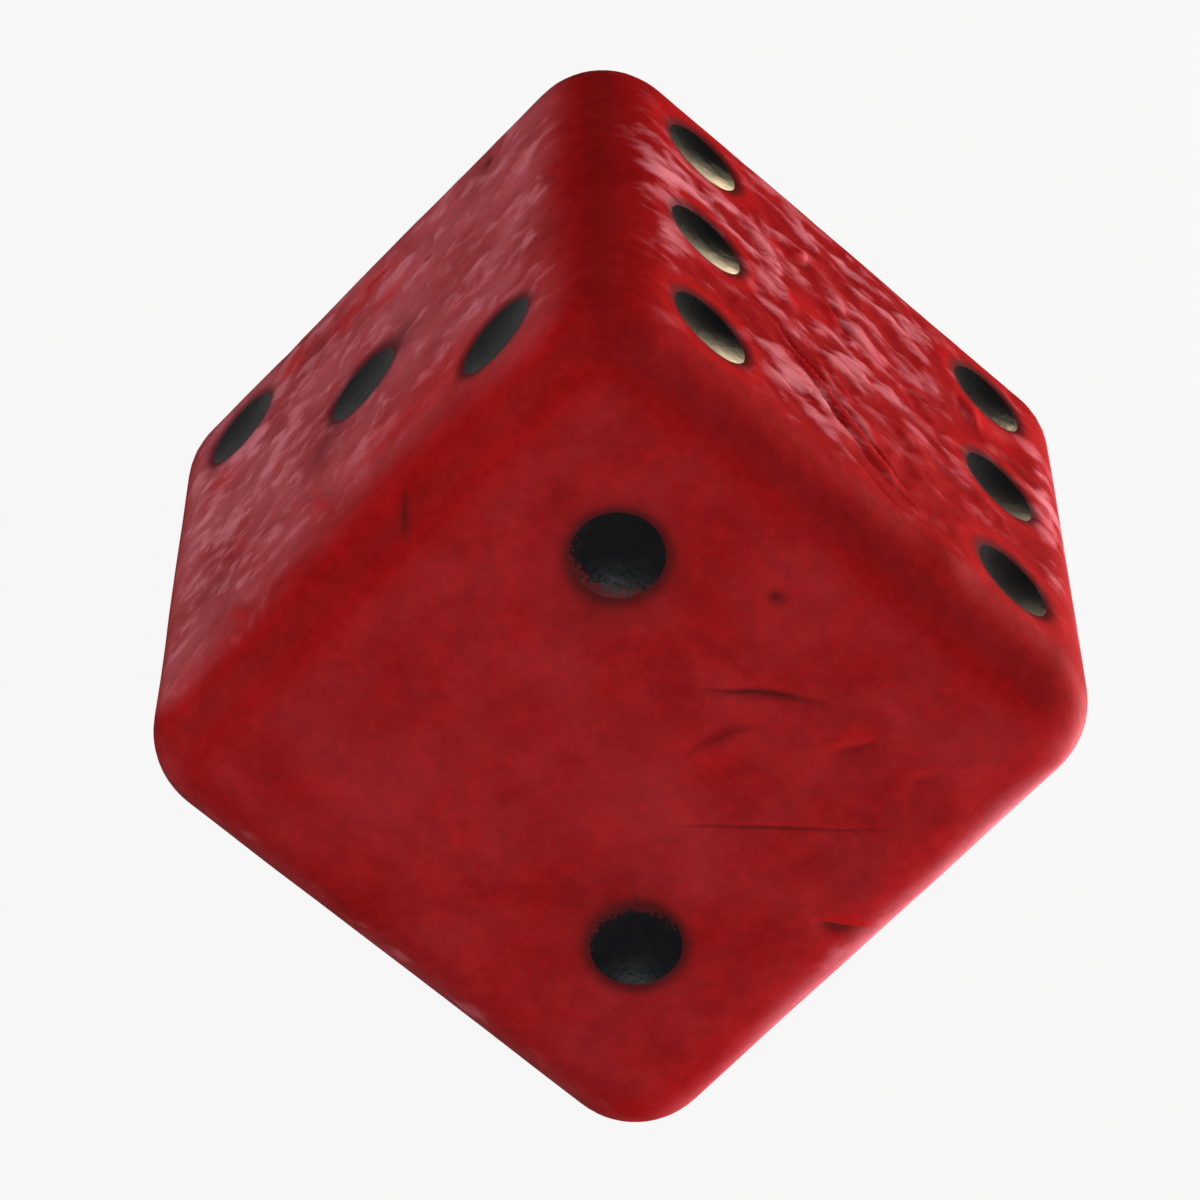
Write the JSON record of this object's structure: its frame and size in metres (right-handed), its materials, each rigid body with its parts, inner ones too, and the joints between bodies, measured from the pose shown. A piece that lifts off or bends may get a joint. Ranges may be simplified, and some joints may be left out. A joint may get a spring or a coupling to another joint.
{
  "type": "die",
  "caption": "Six-sided gaming die: a solid cube with round edges and round corners, and a shallow black-enamelled bowl for each pip.",
  "frame": {"origin": "centre of the cube", "axes": "+Z out of the six, -Z out of the one, -Y out of the two, +Y out of the five, -X out of the three, +X out of the four"},
  "size_m": [0.019, 0.019, 0.019],
  "materials": {
    "die_plastic": "red cast plastic, scuffed, dented and dusty from long use",
    "pip_enamel": "black enamel, worn to a satin and chipped at its rim"
  },
  "bodies": {
    "root": {"die_body": "die_plastic", "pip_fill_1a": "pip_enamel", "pip_fill_2a": "pip_enamel", "pip_fill_2b": "pip_enamel", "pip_fill_3a": "pip_enamel", "pip_fill_3b": "pip_enamel", "pip_fill_3c": "pip_enamel", "pip_fill_4a": "pip_enamel", "pip_fill_4b": "pip_enamel", "pip_fill_4c": "pip_enamel", "pip_fill_4d": "pip_enamel", "pip_fill_5a": "pip_enamel", "pip_fill_5b": "pip_enamel", "pip_fill_5c": "pip_enamel", "pip_fill_5d": "pip_enamel", "pip_fill_5e": "pip_enamel", "pip_fill_6a": "pip_enamel", "pip_fill_6b": "pip_enamel", "pip_fill_6c": "pip_enamel", "pip_fill_6d": "pip_enamel", "pip_fill_6e": "pip_enamel", "pip_fill_6f": "pip_enamel"}
  },
  "joints": []
}
